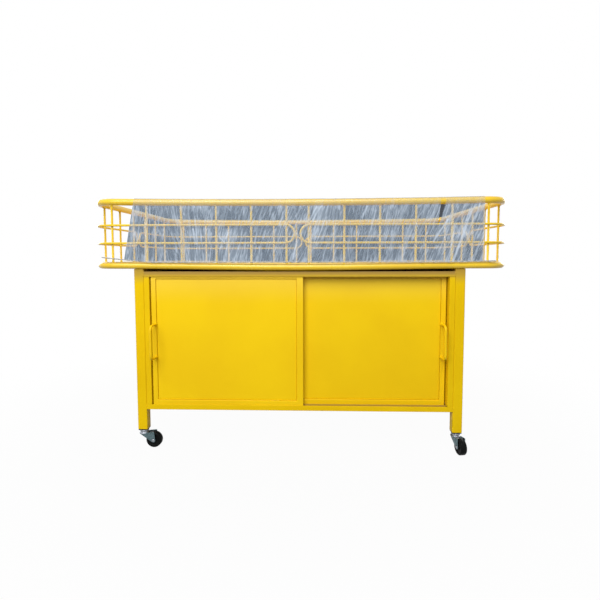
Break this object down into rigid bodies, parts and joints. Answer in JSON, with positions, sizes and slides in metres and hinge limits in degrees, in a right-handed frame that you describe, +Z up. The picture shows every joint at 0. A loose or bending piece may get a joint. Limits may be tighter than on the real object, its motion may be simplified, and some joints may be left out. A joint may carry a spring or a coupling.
{
  "type": "sale display bin",
  "caption": "Open wire basket on a steel cabinet with sliding doors and swivel casters, for loose goods on sale in a shop.",
  "frame": {"origin": "on the floor, under the middle of the outer box", "axes": "+X to the right along the basket, +Y to the back, +Z up; the doors face -Y"},
  "size_m": [1.2, 0.733, 0.7282],
  "materials": {
    "yellow_paint": "glossy yellow enamel on steel",
    "film": "clear wrinkled stretch film",
    "zinc": "bright zinc plate",
    "wheel_rubber": "black, slightly worn",
    "nylon": "natural nylon",
    "black_plastic": "moulded black plastic"
  },
  "bodies": {
    "bin": {"lower_rim": "yellow_paint", "upper_rim": "yellow_paint", "front_left_wires": "yellow_paint", "front_right_wires": "yellow_paint", "back_left_wires": "yellow_paint", "back_right_wires": "yellow_paint", "basket_floor": "yellow_paint", "left_bearer": "yellow_paint", "middle_bearer": "yellow_paint", "right_bearer": "yellow_paint", "stretch_film": "film", "front_left_leg": "yellow_paint", "front_right_leg": "yellow_paint", "back_left_leg": "yellow_paint", "back_right_leg": "yellow_paint", "left_lower_rail": "yellow_paint", "right_lower_rail": "yellow_paint", "back_lower_rail": "yellow_paint", "left_upper_rail": "yellow_paint", "right_upper_rail": "yellow_paint", "back_upper_rail": "yellow_paint", "upper_track": "yellow_paint", "lower_track": "yellow_paint", "left_stile": "yellow_paint", "right_stile": "yellow_paint", "left_side_panel": "yellow_paint", "right_side_panel": "yellow_paint", "back_panel": "yellow_paint", "cabinet_floor": "yellow_paint", "front_left_insert": "black_plastic", "front_right_insert": "black_plastic", "back_left_insert": "black_plastic", "back_right_insert": "black_plastic", "front_left_stem": "zinc", "front_right_stem": "zinc", "back_left_stem": "zinc", "back_right_stem": "zinc"},
    "left_door": {"left_door_frame": "yellow_paint", "left_door_panel": "yellow_paint", "left_door_handle": "yellow_paint", "left_door_outer_glide": "nylon", "left_door_inner_glide": "nylon"},
    "right_door": {"right_door_frame": "yellow_paint", "right_door_panel": "yellow_paint", "right_door_handle": "yellow_paint", "right_door_outer_glide": "nylon", "right_door_inner_glide": "nylon"},
    "front_left_caster": {"front_left_fork": "zinc", "front_left_axle": "zinc"},
    "front_right_caster": {"front_right_fork": "zinc", "front_right_axle": "zinc"},
    "back_left_caster": {"back_left_fork": "zinc", "back_left_axle": "zinc"},
    "back_right_caster": {"back_right_fork": "zinc", "back_right_axle": "zinc"},
    "front_left_roller": {"front_left_wheel": "wheel_rubber"},
    "front_right_roller": {"front_right_wheel": "wheel_rubber"},
    "back_left_roller": {"back_left_wheel": "wheel_rubber"},
    "back_right_roller": {"back_right_wheel": "wheel_rubber"}
  },
  "joints": [
    {"name": "left_door_slide", "type": "slide", "parent": "bin", "child": "left_door", "axis": [1, 0, 0], "range_m": [0, 0.385]},
    {"name": "right_door_slide", "type": "slide", "parent": "bin", "child": "right_door", "axis": [1, 0, 0], "range_m": [-0.385, 0]},
    {"name": "front_left_swivel", "type": "hinge", "parent": "bin", "child": "front_left_caster", "pos_m": [-0.4575, -0.312, 0.045], "axis": [0, 0, 1], "continuous": true},
    {"name": "front_right_swivel", "type": "hinge", "parent": "bin", "child": "front_right_caster", "pos_m": [0.4575, -0.312, 0.045], "axis": [0, 0, 1], "continuous": true},
    {"name": "back_left_swivel", "type": "hinge", "parent": "bin", "child": "back_left_caster", "pos_m": [-0.4575, 0.345, 0.045], "axis": [0, 0, 1], "continuous": true},
    {"name": "back_right_swivel", "type": "hinge", "parent": "bin", "child": "back_right_caster", "pos_m": [0.4575, 0.345, 0.045], "axis": [0, 0, 1], "continuous": true},
    {"name": "front_left_roll", "type": "hinge", "parent": "front_left_caster", "child": "front_left_roller", "pos_m": [-0.42752, -0.31305, 0.023], "axis": [-0.0349, -0.9994, 0], "continuous": true},
    {"name": "front_right_roll", "type": "hinge", "parent": "front_right_caster", "child": "front_right_roller", "pos_m": [0.46271, -0.34154, 0.023], "axis": [-0.9848, -0.1736, 0], "continuous": true},
    {"name": "back_left_roll", "type": "hinge", "parent": "back_left_caster", "child": "back_left_roller", "pos_m": [-0.42816, 0.35124, 0.023], "axis": [0.2079, -0.9781, 0], "continuous": true},
    {"name": "back_right_roll", "type": "hinge", "parent": "back_right_caster", "child": "back_right_roller", "pos_m": [0.42931, 0.33474, 0.023], "axis": [-0.342, 0.9397, 0], "continuous": true}
  ]
}
